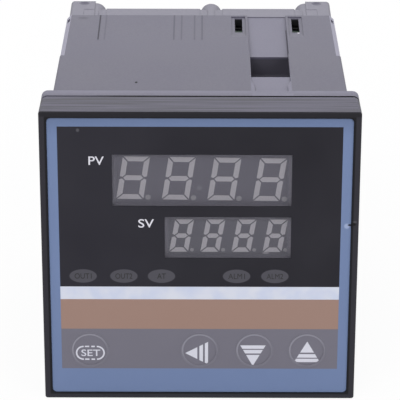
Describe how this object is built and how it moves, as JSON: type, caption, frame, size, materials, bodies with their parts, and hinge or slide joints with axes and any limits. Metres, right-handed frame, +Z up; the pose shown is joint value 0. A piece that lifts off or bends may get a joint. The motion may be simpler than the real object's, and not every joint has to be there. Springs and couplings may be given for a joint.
{
  "type": "pid temperature controller",
  "caption": "Square panel-mounted temperature controller: framed printed front with numeric displays, lamps and press keys, tapered case, rear screw terminals.",
  "frame": {"origin": "middle of the panel cut-out, on the plane of the flange's rear face that rests on the panel's front", "axes": "+X to the right seen from the front, +Y from the front to the rear terminals, +Z up"},
  "size_m": [0.072, 0.0837, 0.072],
  "materials": {
    "case_plastic": "fine-textured black moulding, slightly dusty",
    "frame_plastic": "fine-textured black moulding",
    "terminal_plastic": "smooth black moulding",
    "printed_film": "printed polycarbonate film with a fine velvet face",
    "clear_pane": "clear slightly smoked acrylic",
    "display_grey": "flat grey display face",
    "segment_resin": "unlit milky resin",
    "lamp_resin": "unlit tinted resin",
    "switch_plastic": "moulded nylon",
    "board_laminate": "glass-fibre laminate with green mask",
    "zinc_steel": "zinc-plated steel",
    "header_plastic": "moulded black plastic",
    "ferrite": "sintered ferrite",
    "winding_tape": "yellow winding tape",
    "capacitor_sleeve": "shrink sleeve",
    "varistor_coat": "blue epoxy coat",
    "chip_plastic": "moulded epoxy",
    "fuse_caps": "plated caps on a glass tube",
    "relay_case": "blue relay case",
    "crystal_can": "drawn steel can",
    "terminal_brass": "bright brass strip",
    "terminal_plate": "nickel-plated steel"
  },
  "bodies": {
    "housing": {"alarm1_lamp": "lamp_resin", "alarm2_lamp": "lamp_resin", "alarm_relay": "relay_case", "board_screws": "zinc_steel", "bridge_rectifier": "chip_plastic", "bulk_capacitor": "capacitor_sleeve", "case_shell": "case_plastic", "crystal": "crystal_can", "display_board": "board_laminate", "down_switch": "switch_plastic", "front_frame": "frame_plastic", "front_io_header": "header_plastic", "front_power_header": "header_plastic", "glass_fuse": "fuse_caps", "io_board": "board_laminate", "main_relay": "relay_case", "microcontroller": "chip_plastic", "out1_lamp": "lamp_resin", "out2_lamp": "lamp_resin", "output_capacitor": "capacitor_sleeve", "overlay_film": "printed_film", "power_board": "board_laminate", "pv_display_shell": "display_grey", "pv_segments": "segment_resin", "pv_window": "clear_pane", "rear_board": "board_laminate", "rear_io_header": "header_plastic", "rear_power_header": "header_plastic", "set_switch": "switch_plastic", "shift_switch": "switch_plastic", "signal_converter": "chip_plastic", "sv_display_shell": "display_grey", "sv_segments": "segment_resin", "sv_window": "clear_pane", "terminal_block": "terminal_plastic", "terminal_clamps": "terminal_plate", "terminal_screws": "terminal_plate", "terminal_strips": "terminal_brass", "transformer_core": "ferrite", "transformer_winding": "winding_tape", "tune_lamp": "lamp_resin", "up_switch": "switch_plastic", "varistor": "varistor_coat"},
    "set_key": {"set_key": "printed_film", "set_stem": "switch_plastic"},
    "shift_key": {"shift_key": "printed_film", "shift_stem": "switch_plastic"},
    "down_key": {"down_key": "printed_film", "down_stem": "switch_plastic"},
    "up_key": {"up_key": "printed_film", "up_stem": "switch_plastic"}
  },
  "joints": [
    {"name": "set_key_press", "type": "slide", "parent": "housing", "child": "set_key", "axis": [0, 1, 0], "range_m": [0, 0.00025], "stiffness_N_per_m": 3000},
    {"name": "shift_key_press", "type": "slide", "parent": "housing", "child": "shift_key", "axis": [0, 1, 0], "range_m": [0, 0.00025], "stiffness_N_per_m": 3000},
    {"name": "down_key_press", "type": "slide", "parent": "housing", "child": "down_key", "axis": [0, 1, 0], "range_m": [0, 0.00025], "stiffness_N_per_m": 3000},
    {"name": "up_key_press", "type": "slide", "parent": "housing", "child": "up_key", "axis": [0, 1, 0], "range_m": [0, 0.00025], "stiffness_N_per_m": 3000}
  ]
}
